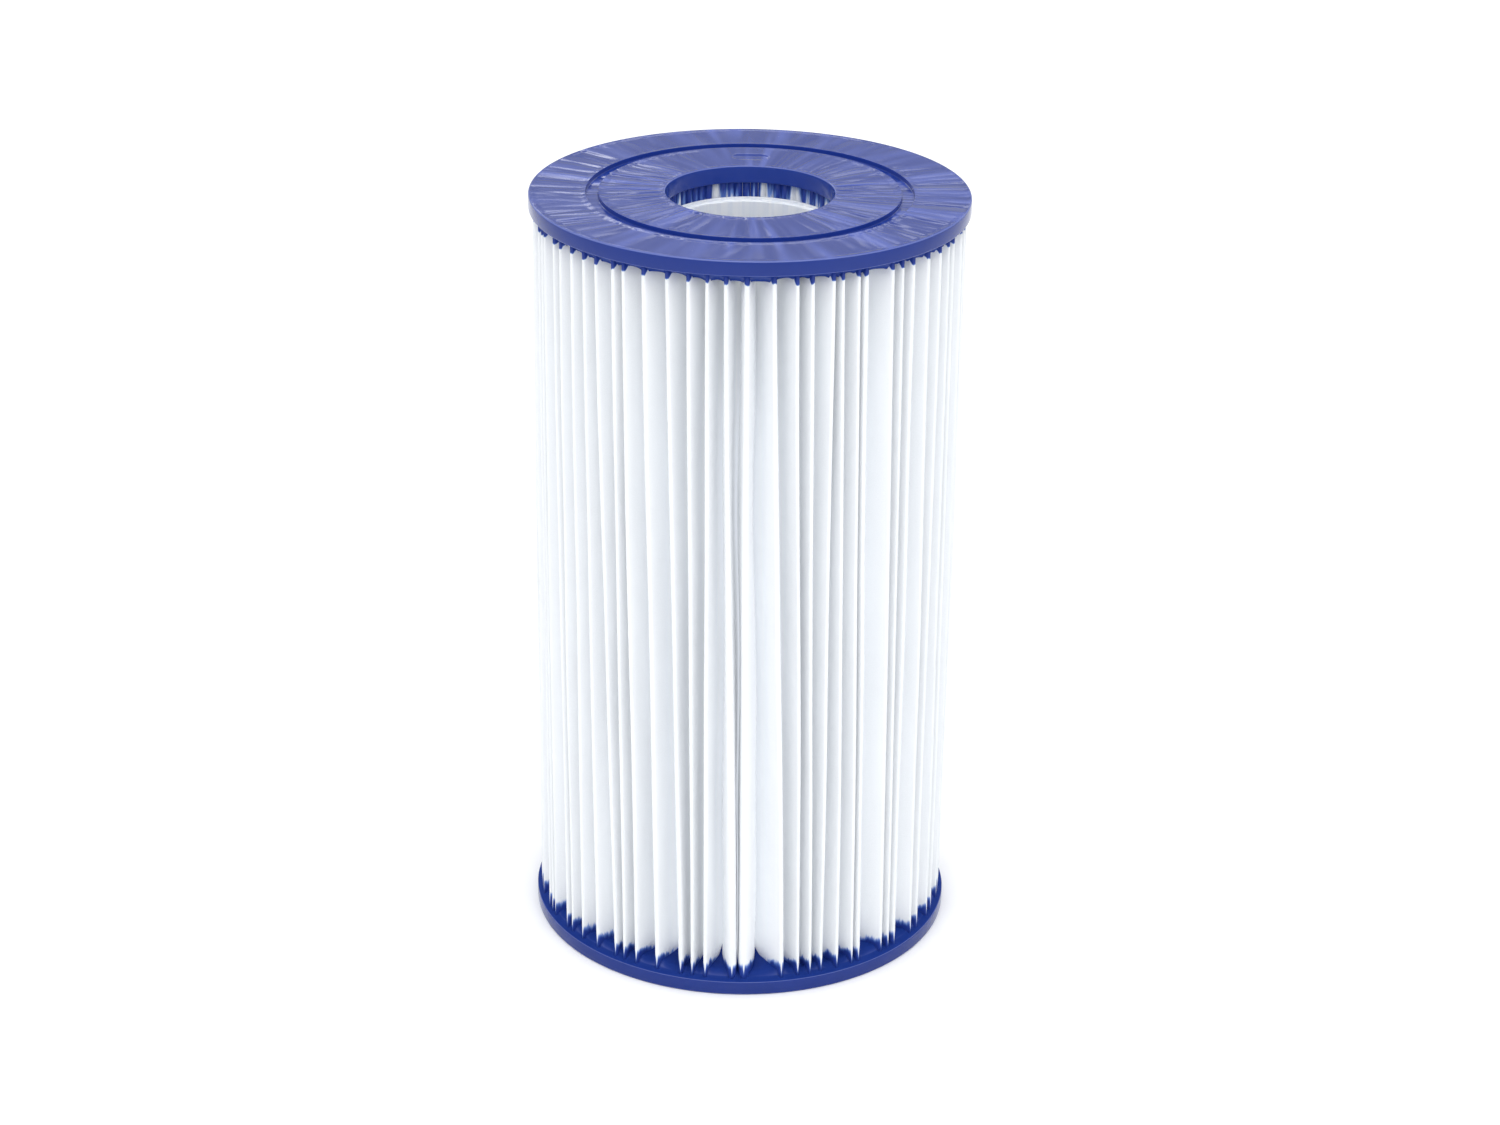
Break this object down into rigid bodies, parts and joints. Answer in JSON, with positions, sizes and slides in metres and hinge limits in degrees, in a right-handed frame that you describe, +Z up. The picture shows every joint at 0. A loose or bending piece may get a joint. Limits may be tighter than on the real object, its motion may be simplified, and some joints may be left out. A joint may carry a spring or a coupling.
{
  "type": "filter cartridge",
  "caption": "Pleated pool filter cartridge: white folded media round a white cage core, with a blue cast cap on each end and an open bore.",
  "frame": {"origin": "centre of the bottom end cap's outside face", "axes": "+Z up along the bore's axis, +Y towards the media's glued seam and the blank mould mark"},
  "size_m": [0.142, 0.142, 0.256],
  "materials": {
    "cap_blue": "gloss",
    "media_white": "matte",
    "core_white": "satin",
    "seam_glue": "satin"
  },
  "bodies": {
    "root": {"bottom_end_cap": "cap_blue", "top_end_cap": "cap_blue", "pleated_media": "media_white", "seam_glue_bead": "seam_glue", "core_section_1": "core_white", "core_section_2": "core_white", "core_section_3": "core_white", "core_section_4": "core_white"}
  },
  "joints": []
}
